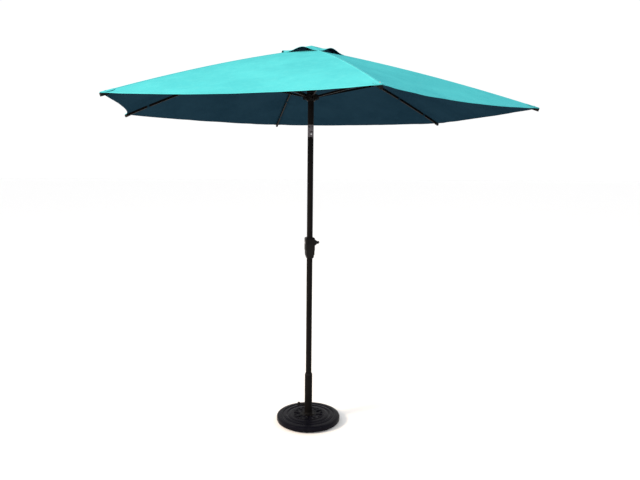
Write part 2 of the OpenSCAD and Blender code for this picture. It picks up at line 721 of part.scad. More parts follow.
// The small top tier over the vent, arched between its corners
function vent_point(t, u, k) =
    let (
        a = rib_step * (k - 1 + u) - 90,
        v = u * rib_step - rib_step / 2,
        edge = vent_r * cos(rib_step / 2) / cos(v),
        corner_z = cloth_z(vent_r) + cloth_t + 1.2,
        r = edge * t
    )
    [r * cos(a), r * sin(a), crown_z - (crown_z - corner_z) * t + 2.5 * 4 * t * (1 - t)
        + vent_rise * pow(sin(180 * u), 2) * t * t * t];
module canopy_vent() color(turquoise) {
    n = 8;
    rows = 7;
    ring = [for (m = [1:rows], k = [1:ribs], j = [0:n - 1]) vent_point(m / rows, j / n, k)];
    w = ribs * n;
    upper = concat([[0, 0, crown_z]], ring);
    half = len(upper);
    lower = [for (p = upper) p - [0, 0, cloth_t]];
    fan = [for (j = [0:w - 1]) [0, 1 + j, 1 + (j + 1) % w]];
    strips = [for (m = [0:rows - 2], j = [0:w - 1]) let (a = 1 + m * w, b = a + w)
        each [[a + j, b + j, b + (j + 1) % w], [a + j, b + (j + 1) % w, a + (j + 1) % w]]];
    top = concat(fan, strips);
    last = 1 + (rows - 1) * w;
    side = [for (j = [0:w - 1]) let (a = last + j, b = last + (j + 1) % w)
        each [[a, b, b + half], [a, b + half, a + half]]];
    polyhedron(points = concat(upper, lower), faces = concat(
        [for (f = top) [f[2], f[1], f[0]]],
        [for (f = top) [f[0] + half, f[1] + half, f[2] + half]],
        side
    ));
}

base_disc();
base_rosette();
base_tube();
base_collar();
base_bolts();
base_feet();
clamp_knob();
pole_foot();
lower_pole();
pole_coupler();
snap_button();
snap_spring();
mid_pole();
housing_front();
housing_back();
housing_screws();
crank_bushes();
crank_spool();
crank_hub();
crank_arm();
crank_grip();
tilt_socket();
tilt_head();
tilt_pins();
tilt_button();
tilt_spring();
upper_pole();
top_hub();
hub_pins();
pulley();
crown_cap();
lift_cord_lower();
lift_cord_upper();
lift_cord_outer();
runner();
canopy_vent();
rib(1);  // rib_1
rib(2);  // rib_2
rib(3);  // rib_3
rib(4);  // rib_4
rib(5);  // rib_5
rib(6);  // rib_6
rib_fittings(1);  // rib_fittings_1
rib_fittings(2);  // rib_fittings_2
rib_fittings(3);  // rib_fittings_3
rib_fittings(4);  // rib_fittings_4
rib_fittings(5);  // rib_fittings_5
rib_fittings(6);  // rib_fittings_6
stretcher(1);  // stretcher_1
stretcher(2);  // stretcher_2
stretcher(3);  // stretcher_3
stretcher(4);  // stretcher_4
stretcher(5);  // stretcher_5
stretcher(6);  // stretcher_6
canopy_gore(1);  // canopy_gore_1
canopy_gore(2);  // canopy_gore_2
canopy_gore(3);  // canopy_gore_3
canopy_gore(4);  // canopy_gore_4
canopy_gore(5);  // canopy_gore_5
canopy_gore(6);  // canopy_gore_6
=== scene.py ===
"""Looks of a crank-and-tilt patio umbrella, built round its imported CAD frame.

Metres, +Z up. The origin is the centre of the base's underside. Rib 1 points along -Y and the
other ribs follow counter-clockwise, 60 degrees apart.
"""
import json
from math import atan2, cos, pi, radians, sin, sqrt, tan

import bmesh
import bpy
import numpy as np
from mathutils import Matrix, Vector


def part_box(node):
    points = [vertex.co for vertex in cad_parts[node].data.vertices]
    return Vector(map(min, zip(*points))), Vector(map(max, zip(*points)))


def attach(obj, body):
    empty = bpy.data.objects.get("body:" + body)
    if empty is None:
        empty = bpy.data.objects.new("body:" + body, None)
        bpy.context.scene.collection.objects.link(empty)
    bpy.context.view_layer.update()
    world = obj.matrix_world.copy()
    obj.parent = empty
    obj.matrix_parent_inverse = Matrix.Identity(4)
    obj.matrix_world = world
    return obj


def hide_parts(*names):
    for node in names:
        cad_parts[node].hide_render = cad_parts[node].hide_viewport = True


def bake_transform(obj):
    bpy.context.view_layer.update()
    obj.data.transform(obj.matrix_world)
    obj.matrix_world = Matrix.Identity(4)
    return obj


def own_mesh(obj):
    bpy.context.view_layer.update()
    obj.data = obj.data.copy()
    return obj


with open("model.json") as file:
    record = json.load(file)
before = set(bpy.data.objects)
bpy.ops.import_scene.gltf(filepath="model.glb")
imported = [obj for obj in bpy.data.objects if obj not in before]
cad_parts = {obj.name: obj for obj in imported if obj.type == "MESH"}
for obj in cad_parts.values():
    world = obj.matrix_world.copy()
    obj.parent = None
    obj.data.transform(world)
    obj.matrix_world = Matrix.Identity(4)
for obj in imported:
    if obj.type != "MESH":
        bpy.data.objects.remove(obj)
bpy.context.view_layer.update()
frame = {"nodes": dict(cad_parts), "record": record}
nodes = frame["nodes"]
record = frame["record"]
body_of_node = {n: body for body, members in record["behaviour"]["bodies"].items() for n in members}
slot_of_node = {s["node"]: s["material_slot"] for s in record["subparts"]}

# Canopy, with the frame's own driving sizes
RIBS = 6
TIP_R = 1.350           # radius of the tips
TIP_Z = 2.0305          # height of the tips
APEX_Z = 2.4119         # height that the ribs' straight line reaches at the axis
RIB_BOW = 0.0205        # rise of a rib's middle over the line between its ends
HEM_CURVE = 0.055       # inward curve of a hem between two tips
PANEL_SAG = 0.013       # sag of a panel's middle line
OPEN_R = 0.130          # radius of the opening at the top
VENT_R = 0.210          # radius of the top tier at its corners
VENT_RISE = 0.027       # rise of the top tier's edge between two corners
CROWN_Z = 2.431         # height of the top tier's middle

CLOTH = 0.0008          # thickness of the cloth
HEM = 0.024             # width of the hem's fold
TOP_HEM = 0.010         # width of the fold round the opening
FOLD_END = 0.0016       # step down from doubled to single cloth
ROUND_EDGE = 0.0022     # width of the rounding on a folded edge
SWELL = 0.0006          # how far doubled cloth stands up on each face
VENT_HEM = 0.0095       # width of the top tier's hem
VENT_SWELL = 0.0004     # how far that hem stands up on each face
SEAM = 0.0075           # half width of the seam over a rib
STITCH = 0.006          # pitch of the stitches
FINE_STITCH = 0.0052    # pitch of the stitches on the top tier
CROWN_PATCH_R = 0.075   # radius of the patch sewn over the top tier's middle
TIP_PATCH_R = (1.278, 1.3492)   # radii of a tip patch's two ends
TIP_PATCH_W = 0.024     # half width of a tip patch
RIVET_R = 1.322         # radius at which a tip's rivet sits
LOOP_R = (0.45, 0.86, 1.16)     # radii of the bands that tie the cloth to a rib
LOOP_W = 0.009          # half width of such a band

FALL = APEX_Z - TIP_Z
BOW_Z = RIB_BOW * sqrt(1 + (FALL / TIP_R) ** 2)    # the bow, measured straight up
RIB_SLOPE = atan2(FALL, TIP_R)
HALF = radians(30)      # from a rib to the middle of a panel


# ---------- Node trees ----------

def node(tree, kind, inputs=None, **settings):
    """Adds a node. An input is a value, or the socket that it is linked to."""
    made = tree.nodes.new(kind)
    for key, value in settings.items():
        setattr(made, key, value)
    for key, value in (inputs or {}).items():
        if isinstance(value, bpy.types.NodeSocket):
            tree.links.new(value, made.inputs[key])
        else:
            made.inputs[key].default_value = value
    return made


def maths(tree, operation, a, b=0.0):
    return node(tree, "ShaderNodeMath", {0: a, 1: b}, operation=operation).outputs[0]


def spread(tree, value, low, high, to_low=0.0, to_high=1.0):
    """Maps value from low..high to to_low..to_high, smoothly."""
    made = node(tree, "ShaderNodeMapRange", {0: value, 1: low, 2: high, 3: to_low, 4: to_high},
                interpolation_type="SMOOTHSTEP")
    return made.outputs[0]


def mix(tree, share, a, b):
    return node(tree, "ShaderNodeMix", {0: share, 6: a, 7: b}, data_type="RGBA").outputs[2]


def rgba(r, g, b):
    return (r, g, b, 1.0)


def noise(tree, at, scale, detail=3.0, roughness=0.55):
    return node(tree, "ShaderNodeTexNoise", {"Vector": at, "Scale": scale, "Detail": detail,
                                             "Roughness": roughness}).outputs[0]


def scaled(tree, at, x, y, z):
    return node(tree, "ShaderNodeMapping", {"Vector": at, "Scale": (x, y, z)}).outputs[0]


def bump(tree, height, strength, distance, normal=None):
    inputs = {"Height": height, "Strength": strength, "Distance": distance}
    if normal is not None:
        inputs["Normal"] = normal
    return node(tree, "ShaderNodeBump", inputs).outputs[0]


def place(tree):
    """Where a point is on its own object, in metres."""
    return node(tree, "ShaderNodeTexCoord").outputs["Object"]


def edge_wear(tree, at, radius):
    """1 on an outer edge that has been rubbed, 0 elsewhere."""
    rounded = node(tree, "ShaderNodeBevel", {"Radius": radius}, samples=4).outputs[0]
    true = node(tree, "ShaderNodeNewGeometry").outputs["Normal"]
    turn = node(tree, "ShaderNodeVectorMath", {0: rounded, 1: true}, operation="DOT_PRODUCT")
    edge = spread(tree, turn.outputs["Value"], 0.97, 0.80)
    return maths(tree, "MULTIPLY", edge, spread(tree, noise(tree, at, 60), 0.5, 0.68))


def material(name, **sockets):
    """A Principled material with fixed values on its sockets. Returns it, its tree and its shader."""
    made = bpy.data.materials.new(name)
    made.use_nodes = True
    shader = made.node_tree.nodes["Principled BSDF"]
    for key, value in sockets.items():
        shader.inputs[key.replace("_", " ")].default_value = value
    return made, made.node_tree, shader


def finish_material(tree, shader, colour, roughness, normal):
    tree.links.new(colour, shader.inputs["Base Color"])
    tree.links.new(roughness, shader.inputs["Roughness"])
    tree.links.new(normal, shader.inputs["Normal"])


# ---------- Materials ----------

def woven(name, dark, light, pale):
    """Plain-woven polyester. Threads run along the cloth's own UV map, which is in metres."""
    made, tree, shader = material(name, Specular_IOR_Level=0.0)
    uv = node(tree, "ShaderNodeUVMap", uv_map="weave").outputs[0]
    at = place(tree)
    pitch = 0.0007      # from one thread to the next
    parts = node(tree, "ShaderNodeSeparateXYZ", {0: uv}).outputs
    wobble = maths(tree, "MULTIPLY", noise(tree, uv, 90, 2), 0.0009)
    ridges = []
    for axis in (0, 1):
        turns = maths(tree, "MULTIPLY", maths(tree, "ADD", parts[axis], wobble), pi / pitch)
        ridges.append(maths(tree, "ABSOLUTE", maths(tree, "SINE", turns)))
    over = node(tree, "ShaderNodeTexChecker", {"Vector": uv, "Scale": 1 / pitch}).outputs["Fac"]
    threads = node(tree, "ShaderNodeMix", {0: over, 2: ridges[0], 3: ridges[1]}).outputs[0]
    slub_along = noise(tree, scaled(tree, uv, 900, 35, 1), 1, 2)
    slub_across = noise(tree, scaled(tree, uv, 35, 900, 1), 1, 2)
    slub = maths(tree, "ADD", slub_along, slub_across)
    fade = spread(tree, noise(tree, at, 3.2, 4, 0.6), 0.34, 0.68)
    blotch = spread(tree, noise(tree, at, 26, 5, 0.65), 0.42, 0.75)
    colour = mix(tree, fade, rgba(*dark), rgba(*light))
    colour = mix(tree, maths(tree, "MULTIPLY", blotch, 0.22), colour, rgba(*pale))
    colour = mix(tree, spread(tree, slub, 0.7, 1.35, 0.10, 0.0), colour, rgba(*[c * 0.6 for c in dark]))
    # Painted shade: the cloth is darker in the grooves between its threads.
    colour = mix(tree, spread(tree, threads, 0.0, 0.6, 0.26, 0.0), colour,
                 rgba(*[c * 0.45 for c in dark]))
    creases = noise(tree, scaled(tree, at, 7, 7, 7), 1, 5, 0.6)
    normal = bump(tree, creases, 0.22, 0.012)
    normal = bump(tree, slub, 0.12, 0.0004, normal)
    normal = bump(tree, threads, 0.35, 0.0003, normal)
    finish_material(tree, shader, colour, spread(tree, blotch, 0, 1, 0.86, 0.74), normal)
    return made


def thread(name, colour):
    made, tree, shader = material(name, Sheen_Weight=0.3, Specular_IOR_Level=0.35)
    at = place(tree)
    twist = node(tree, "ShaderNodeTexWave", {"Vector": at, "Scale": 900.0, "Distortion": 1.0},
                 bands_direction="DIAGONAL").outputs["Fac"]
    # Painted shade: the thread is darker in the grooves of its twist.
    tint = mix(tree, twist, rgba(*[c * 0.55 for c in colour]), rgba(*colour))
    finish_material(tree, shader, tint, spread(tree, twist, 0, 1, 0.75, 0.55),
                    bump(tree, twist, 0.4, 0.0002))
    return made


def powder_coat():
    """Satin black-bronze powder coat: fine orange peel, metal flake with painted glints, rubs and worn
    edges.
    """
    made, tree, shader = material("powder_coat", Specular_IOR_Level=0.035)
    at = place(tree)
    peel = noise(tree, at, 620, 2)
    flake = node(tree, "ShaderNodeTexVoronoi", {"Vector": at, "Scale": 2600.0}).outputs["Distance"]
    glint = spread(tree, flake, 0.16, 0.05)
    cloudy = spread(tree, noise(tree, at, 9, 4), 0.3, 0.7)
    rubs = spread(tree, noise(tree, scaled(tree, at, 260, 260, 9), 1, 3), 0.62, 0.80)
    worn = edge_wear(tree, at, 0.0012)
    colour = mix(tree, cloudy, rgba(0.0034, 0.0030, 0.0030), rgba(0.0056, 0.0049, 0.0048))
    # Painted glint: specks of the flake are painted lighter.
    colour = mix(tree, maths(tree, "MULTIPLY", glint, 0.16), colour, rgba(0.05, 0.042, 0.038))
    colour = mix(tree, maths(tree, "MULTIPLY", rubs, 0.22), colour, rgba(0.022, 0.020, 0.020))
    colour = mix(tree, maths(tree, "MULTIPLY", worn, 0.45), colour, rgba(0.11, 0.105, 0.10))
    rough = spread(tree, maths(tree, "ADD", cloudy, rubs), 0.0, 1.8, 0.36, 0.56)
    finish_material(tree, shader, colour, rough, bump(tree, peel, 0.16, 0.0004))
    return made


def cast_enamel():
    """Semi-gloss black enamel over a sand-cast surface, with dust settled on what faces up, and rubbed
    edges painted pale enough to serve as painted highlights on the rings and the rosette.
    """
    made, tree, shader = material("cast_enamel", Specular_IOR_Level=0.035)
    at = place(tree)
    grain = noise(tree, at, 240, 4, 0.6)
    swell = noise(tree, at, 38, 3)
    pits = spread(tree, node(tree, "ShaderNodeTexVoronoi", {"Vector": at, "Scale": 190.0})
                  .outputs["Distance"], 0.10, 0.22)
    up = node(tree, "ShaderNodeSeparateXYZ",
              {0: node(tree, "ShaderNodeNewGeometry").outputs["Normal"]}).outputs[2]
    settled = maths(tree, "MULTIPLY", spread(tree, up, 0.6, 0.98),
                    spread(tree, noise(tree, at, 22, 5, 0.7), 0.46, 0.72))
    worn = edge_wear(tree, at, 0.0016)
    colour = mix(tree, spread(tree, swell, 0.3, 0.7), rgba(0.0026, 0.0026, 0.0048),
                 rgba(0.0046, 0.0045, 0.0078))
    colour = mix(tree, maths(tree, "MULTIPLY", settled, 0.025), colour, rgba(0.10, 0.098, 0.095))
    # Worn edges, painted pale enough that they also stand as painted highlights on the base's rings and
    # rosette.
    colour = mix(tree, maths(tree, "MULTIPLY", worn, 0.7), colour, rgba(0.17, 0.168, 0.172))
    rough = maths(tree, "ADD", spread(tree, grain, 0.3, 0.7, 0.22, 0.34),
                  maths(tree, "MULTIPLY", settled, 0.22))
    normal = bump(tree, swell, 0.35, 0.0016)
    normal = bump(tree, grain, 0.30, 0.0006, normal)
    normal = bump(tree, pits, 0.22, 0.0004, normal)
    finish_material(tree, shader, colour, rough, normal)
    return made


def moulded(name, dark, light, rough, grain_scale, worn_colour):
    """Moulded plastic with a fine spark-eroded grain and scuffed edges."""
    made, tree, shader = material(name, Specular_IOR_Level=0.06)
    at = place(tree)
    grain = node(tree, "ShaderNodeTexVoronoi", {"Vector": at, "Scale": grain_scale},
                 feature="SMOOTH_F1").outputs["Distance"]
    fine = noise(tree, at, grain_scale * 1.7, 2)
    cloudy = spread(tree, noise(tree, at, 14, 4), 0.3, 0.7)
    scuffs = spread(tree, noise(tree, scaled(tree, at, 60, 240, 90), 1, 4), 0.63, 0.78)
    worn = edge_wear(tree, at, 0.0010)
    colour = mix(tree, cloudy, rgba(*dark), rgba(*light))
    colour = mix(tree, maths(tree, "MULTIPLY", scuffs, 0.30), colour, rgba(*worn_colour))
    colour = mix(tree, maths(tree, "MULTIPLY", worn, 0.55), colour, rgba(*worn_colour))
    normal = bump(tree, grain, 0.22, 0.0003)
    normal = bump(tree, fine, 0.14, 0.0002, normal)
    dull = spread(tree, maths(tree, "ADD", cloudy, scuffs), 0, 1.6, rough, rough + 0.16)
    finish_material(tree, shader, colour, dull, normal)
    return made


def zinc_steel():
    """Zinc-plated steel, with drawn lines, spangle and a little tarnish."""
    made, tree, shader = material("zinc_steel", Metallic=1.0)
    at = place(tree)
    drawn = noise(tree, scaled(tree, at, 900, 900, 60), 1, 3)
    spangle = node(tree, "ShaderNodeTexVoronoi", {"Vector": at, "Scale": 260.0}).outputs["Color"]
    tone = node(tree, "ShaderNodeSeparateColor", {0: spangle}).outputs[0]
    tarnish = spread(tree, noise(tree, at, 70, 5, 0.65), 0.48, 0.74)
    colour = mix(tree, maths(tree, "MULTIPLY", tone, 0.35), rgba(0.66, 0.66, 0.65),
                 rgba(0.50, 0.51, 0.53))
    colour = mix(tree, maths(tree, "MULTIPLY", tarnish, 0.5), colour, rgba(0.33, 0.30, 0.26))
    rough = maths(tree, "ADD", spread(tree, drawn, 0.3, 0.7, 0.24, 0.36),
                  maths(tree, "MULTIPLY", tarnish, 0.18))
    finish_material(tree, shader, colour, rough, bump(tree, drawn, 0.12, 0.0002))
    return made


def braided_cord():
    """Round braid: two sets of strands that cross in spirals."""
    made, tree, shader = material("braided_cord", Sheen_Weight=0.4, Specular_IOR_Level=0.3)
    at = place(tree)
    strands = []
    for lean in (1, -1):
        turned = node(tree, "ShaderNodeMapping",
                      {"Vector": at, "Rotation": (0.0, lean * radians(38), lean * radians(20))})
        wave = node(tree, "ShaderNodeTexWave", {"Vector": turned.outputs[0], "Scale": 260.0})
        strands.append(wave.outputs["Fac"])
    braid = maths(tree, "MAXIMUM", *strands)
    fuzz = noise(tree, at, 1500, 3)
    # Painted shade: the cord is darker in the grooves between its strands.
    colour = mix(tree, braid, rgba(0.34, 0.33, 0.29), rgba(0.78, 0.77, 0.71))
    colour = mix(tree, spread(tree, noise(tree, at, 45, 4), 0.5, 0.8, 0, 0.35), colour,
                 rgba(0.42, 0.39, 0.33))
    normal = bump(tree, braid, 0.6, 0.0004)
    normal = bump(tree, fuzz, 0.2, 0.0001, normal)
    finish_material(tree, shader, colour, spread(tree, braid, 0, 1, 0.9, 0.75), normal)
    return made


cloth_top = woven("cloth_top", (0.069, 0.451, 0.496), (0.084, 0.512, 0.551), (0.14, 0.58, 0.60))
# Painted shade: the underside is a much darker copy of the same cloth, standing for the shade under the
# canopy.
cloth_under_painted_shade = woven("cloth_under_painted_shade", (0.0072, 0.0242, 0.0405), (0.0098, 0.0302, 0.0490),
                    (0.015, 0.041, 0.063))
sewing = thread("sewing_thread", (0.12, 0.60, 0.64))
LOOKS = {
    "cast_base": cast_enamel(),
    "painted_frame": powder_coat(),
    "black_plastic": moulded("black_moulding", (0.0045, 0.0042, 0.0043), (0.0075, 0.0070, 0.0071), 0.42,
                             1500.0, (0.04, 0.039, 0.039)),
    "rubber_feet": moulded("rubber", (0.010, 0.010, 0.010), (0.018, 0.0175, 0.017), 0.75, 700.0,
                           (0.05, 0.049, 0.047)),
    "steel": zinc_steel(),
    "grey_joint": moulded("grey_casting", (0.088, 0.080, 0.088), (0.122, 0.112, 0.122), 0.40, 1100.0,
                          (0.34, 0.33, 0.34)),
    "cord": braided_cord(),
    "canopy_cloth": cloth_top,
}
blackened = moulded("blackened_steel", (0.010, 0.010, 0.011), (0.018, 0.018, 0.019), 0.34, 900.0,
                    (0.12, 0.12, 0.12))
NODE_LOOKS = {"base_bolts": blackened, "housing_screws": blackened}

# Radius of the rounding on the hard edges of each CAD node that shows
ROUNDING = {
    "base_disc": 0.0012, "base_rosette": 0.0008, "base_tube": 0.0006, "base_collar": 0.0007,
    "base_bolts": 0.0003, "base_feet": 0.0008, "clamp_knob": 0.0008, "pole_foot": 0.0006,
    "lower_pole": 0.0005, "pole_coupler": 0.0005, "snap_button": 0.0004, "mid_pole": 0.0005,
    "housing_front": 0.0012, "housing_back": 0.0012, "housing_screws": 0.0002, "crank_bushes": 0.0004,
    "crank_hub": 0.0008, "crank_arm": 0.0006, "crank_grip": 0.0008, "tilt_socket": 0.0007,
    "tilt_head": 0.0007, "tilt_button": 0.0005, "upper_pole": 0.0005, "top_hub": 0.0006,
    "pulley": 0.0003, "crown_cap": 0.0008, "runner": 0.0006,
}
for k in range(1, RIBS + 1):
    ROUNDING[f"rib_{k}"] = 0.0008
    ROUNDING[f"rib_fittings_{k}"] = 0.0006
    ROUNDING[f"stretcher_{k}"] = 0.0006


# ---------- Mesh helpers ----------

def add_object(name, mesh, looks, body=None, sharp_deg=40):
    for look in looks:
        mesh.materials.append(look)
    mesh.shade_smooth()
    mesh.set_sharp_from_angle(angle=radians(sharp_deg))
    made = bpy.data.objects.new(name, mesh)
    bpy.context.scene.collection.objects.link(made)
    if body:
        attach(made, body)
    return made


def sheet_mesh(name, top, drop, uv=None, centre=None, ring=False):
    """A closed thin shell over a grid of points. top is rows x columns x 3, and drop is the way
    from each top point to the one beneath it. Faces on top have material 0 and the rest 1, but
    the rim has 0. A ring's last column meets its first, and centre closes its first row."""
    rows, columns = top.shape[:2]
    drop = np.broadcast_to(np.asarray(drop, float), top.shape)
    index = np.arange(rows * columns).reshape(rows, columns)
    if ring:
        index = np.concatenate([index, index[:, :1]], axis=1)
    a, b, c, d = index[:-1, :-1], index[:-1, 1:], index[1:, 1:], index[1:, :-1]
    quads = np.stack([a, d, c, b], axis=-1).reshape(-1, 4)
    faces = [list(q) for q in quads.tolist()]
    points = list(map(tuple, top.reshape(-1, 3)))
    under = list(map(tuple, (top + drop).reshape(-1, 3)))
    if centre is not None:
        points.append(tuple(centre))
        under.append(tuple(np.asarray(centre) + drop[0, 0]))
        hub = len(points) - 1
        faces += [[hub, int(index[0, j]), int(index[0, j + 1])] for j in range(index.shape[1] - 1)]
    uses = {}
    for f in faces:
        for p, q in zip(f, f[1:] + f[:1]):
            uses[(p, q)] = uses.get((p, q), 0) + 1
    rim = [(p, q) for p, q in uses if (q, p) not in uses]
    n = len(points)
    every = faces + [[v + n for v in f[::-1]] for f in faces] + [[q, p, p + n, q + n] for p, q in rim]
    mesh = bpy.data.meshes.new(name)
    mesh.from_pydata(points + under, [], every)
    kinds = [0] * len(faces) + [1] * len(faces) + [0] * len(rim)
    mesh.polygons.foreach_set("material_index", kinds)
    if uv is not None:
        flat = list(map(tuple, uv.reshape(-1, 2)))
        if centre is not None:
            flat.append((0.0, 0.0))
        flat = np.array(flat + flat)
        loops = np.zeros(len(mesh.loops), int)
        mesh.loops.foreach_get("vertex_index", loops)
        mesh.uv_layers.new(name="weave").data.foreach_set("uv", flat[loops].astype(np.float32).ravel())
    if quads.size and upside_down(points, faces[0]):
        mesh.flip_normals()
    return mesh


def upside_down(points, face):
    p = [Vector(points[v]) for v in face]
    return (p[1] - p[0]).cross(p[2] - p[1]).z < 0


def stitches(name, runs, body, pitch=STITCH, radius=0.00042):
    """Rows of short raised stitches, as one mesh. Each run is (points, up) with up the way the
    cloth faces, one vector or one a point."""
    sides, length = 6, 0.72 * pitch
    # Sections of one stitch: place along it, girth and lift, as shares of its length and radius
    shape = [(-0.5, 0.35, -0.5), (-0.36, 0.9, 0.2), (0.0, 1.0, 0.55),
             (0.36, 0.9, 0.2), (0.5, 0.35, -0.5)]
    points, faces = [], []
    for line, up in runs:
        line = np.asarray(line, float)
        steps = np.linalg.norm(np.diff(line, axis=0), axis=1)
        far = np.concatenate([[0], np.cumsum(steps)])
        ups = np.broadcast_to(np.asarray(up, float), line.shape)
        for s in np.arange(pitch, far[-1] - 0.5 * pitch, pitch):
            at = np.array([np.interp(s, far, line[:, k]) for k in range(3)])
            ahead = np.array([np.interp(s + 0.001, far, line[:, k]) for k in range(3)]) - at
            normal = np.array([np.interp(s, far, ups[:, k]) for k in range(3)])
            along = ahead / np.linalg.norm(ahead)
            across = np.cross(normal, along)
            across /= np.linalg.norm(across)
            normal = np.cross(along, across)
            first = len(points)
            for reach, girth, lift in shape:
                middle = at + along * reach * length + normal * lift * radius
                for k in range(sides):
                    a = 2 * pi * k / sides
                    points.append(middle + girth * radius * (cos(a) * across + sin(a) * normal))
            for m in range(len(shape) - 1):
                for k in range(sides):
                    p, q = first + m * sides + k, first + m * sides + (k + 1) % sides
                    faces.append([p, q, q + sides, p + sides])
            faces.append([first + k for k in range(sides)][::-1])
            faces.append([first + (len(shape) - 1) * sides + k for k in range(sides)])
    mesh = bpy.data.meshes.new(name)
    mesh.from_pydata([tuple(p) for p in points], [], faces)
    made = add_object(name, mesh, [sewing], body, 60)
    return made


def lathe(name, profile, looks, segments=48):
    """Turns a profile of (radius, height) about z. It starts and ends on the axis."""
    made = bmesh.new()
    rings = []
    for r, z in profile:
        if r < 1e-6:
            rings.append([made.verts.new((0, 0, z))])
        else:
            turns = [2 * pi * k / segments for k in range(segments)]
            rings.append([made.verts.new((r * cos(a), r * sin(a), z)) for a in turns])
    for low, high in zip(rings, rings[1:]):
        for k in range(segments):
            corners = [low[k % len(low)], low[(k + 1) % len(low)], high[(k + 1) % len(high)],
                       high[k % len(high)]]
            made.faces.new(list(dict.fromkeys(corners)))
    bmesh.ops.recalc_face_normals(made, faces=made.faces)
    mesh = bpy.data.meshes.new(name)
    made.to_mesh(mesh)
    made.free()
    return add_object(name, mesh, looks)


def look_of(name):
    return NODE_LOOKS.get(name) or LOOKS[slot_of_node[name]]


def refined(name, width, segments=2):
    """A closed copy of a CAD node with its hard edges rounded, which stands for the node."""
    source = nodes[name]
    mesh = source.data.copy()
    mesh.name = name + "_rounded"
    work = bmesh.new()
    work.from_mesh(mesh)
    same_point, same_plane = 2e-6, radians(0.1)
    bmesh.ops.remove_doubles(work, verts=work.verts, dist=same_point)
    bmesh.ops.dissolve_limit(work, angle_limit=same_plane, verts=work.verts, edges=work.edges)
    work.to_mesh(mesh)
    work.free()
    if mesh.attributes.get("custom_normal"):
        mesh.attributes.remove(mesh.attributes["custom_normal"])
    mesh.materials.clear()
    made = add_object(name + "_rounded", mesh, [look_of(name)])
    if width:
        rounding = made.modifiers.new("rounding", "BEVEL")
        rounding.width = width
        rounding.segments = segments
        rounding.limit_method = "ANGLE"
        rounding.angle_limit = radians(32)
    made.modifiers.new("normals", "WEIGHTED_NORMAL").keep_sharp = True
    bpy.context.view_layer.update()
    final = bpy.data.meshes.new_from_object(made.evaluated_get(bpy.context.evaluated_depsgraph_get()))
    made.modifiers.clear()
    made.data = final
    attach(made, body_of_node[name])
    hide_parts(name)
    return made


def spring(name):
    """A spring behind a button, as a copy of its CAD node with a mesh of its own."""
    piece = refined(name, 0)
    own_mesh(piece)


# ---------- The canopy's surface ----------

def rib_turn(rib):
    return 2 * pi / RIBS * (rib - 1) - pi / 2


def cloth_z(r):
    t = r / TIP_R
    return APEX_Z - FALL * t + 4 * BOW_Z * t * (1 - t)


def ease(x):
    x = np.clip(x, 0, 1)
    return x * x * (3 - 2 * x)


def ripple(x, y, length, seed, waves=7):
    """Smooth waves of about that length over the plane, from -1 to 1."""
    draw = np.random.default_rng(seed)
    total = np.zeros_like(x)
    for _ in range(waves):
        way, stretch, start = draw.uniform(0, 2 * pi), draw.uniform(0.7, 1.5), draw.uniform(0, 2 * pi)
        total += np.sin(2 * pi * (x * cos(way) + y * sin(way)) / (length * stretch) + start)
    return total / waves


def turned(points, angle):
    c, s = cos(angle), sin(angle)
    return np.stack([points[..., 0] * c - points[..., 1] * s,
                     points[..., 0] * s + points[..., 1] * c, points[..., 2]], axis=-1)


def panel_point(rib, side, t, w):
    """Points of the main canopy. t is 0 at the opening and 1 at the hem; w is 0 on the rib and 1
    on the middle line of the panel that lies on that side of the rib."""
    t, w = np.broadcast_arrays(np.asarray(t, float), np.asarray(w, float))
    r = OPEN_R + (TIP_R - OPEN_R) * t
    arch = w * (2 - w)
    x = r * cos(HALF) - HEM_CURVE * arch * t * t
    y = -side * r * sin(HALF) * (1 - w)
    z = cloth_z(r) - PANEL_SAG * arch * np.sin(pi / 2 * np.minimum(t / 0.8, 1))
    from_rib = r * sin(HALF) * w
    from_tip = np.hypot(TIP_R - r, from_rib)
    points = turned(np.stack([x, y, z], axis=-1), rib_turn(rib) + side * HALF)
    taut = ease(from_rib / 0.11) * ease((r - OPEN_R) / 0.15)
    waves = (0.0016 * ripple(points[..., 0], points[..., 1], 0.30, 3)
             + 0.0007 * ripple(points[..., 0], points[..., 1], 0.11, 8))
    pull = np.arctan2(from_rib, TIP_R - r + 0.02)
    folds = 0.0014 * np.exp(-from_tip / 0.20) * np.sin(7 * pull) * ease(from_rib / 0.06)
    points[..., 2] += taut * waves + folds
    return points


def vent_point(rib, side, t, w):
    """Points of the top tier. t is 0 at the crown and 1 at its edge."""
    t, w = np.broadcast_arrays(np.asarray(t, float), np.asarray(w, float))
    turn = HALF * w
    edge = VENT_R * cos(HALF) / np.cos(HALF - turn)
    arch = np.sin(pi / 2 * w) ** 2
    corner_z = cloth_z(VENT_R) + 0.0024
    r = edge * t
    z = CROWN_Z - (CROWN_Z - corner_z) * t + 0.010 * t * (1 - t) + VENT_RISE * arch * t ** 3
    flat = np.stack([r * np.cos(turn), side * r * np.sin(turn), z], axis=-1)
    points = turned(flat, rib_turn(rib))
    points[..., 2] += 0.0005 * ripple(points[..., 0], points[..., 1], 0.06, 5) * ease(t * w * 2)
    return points


def fold_with(piece, rib):
    """The piece rides the rib's arm, with a mesh of its own."""
    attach(piece, f"rib_arm_{rib}")
    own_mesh(piece)


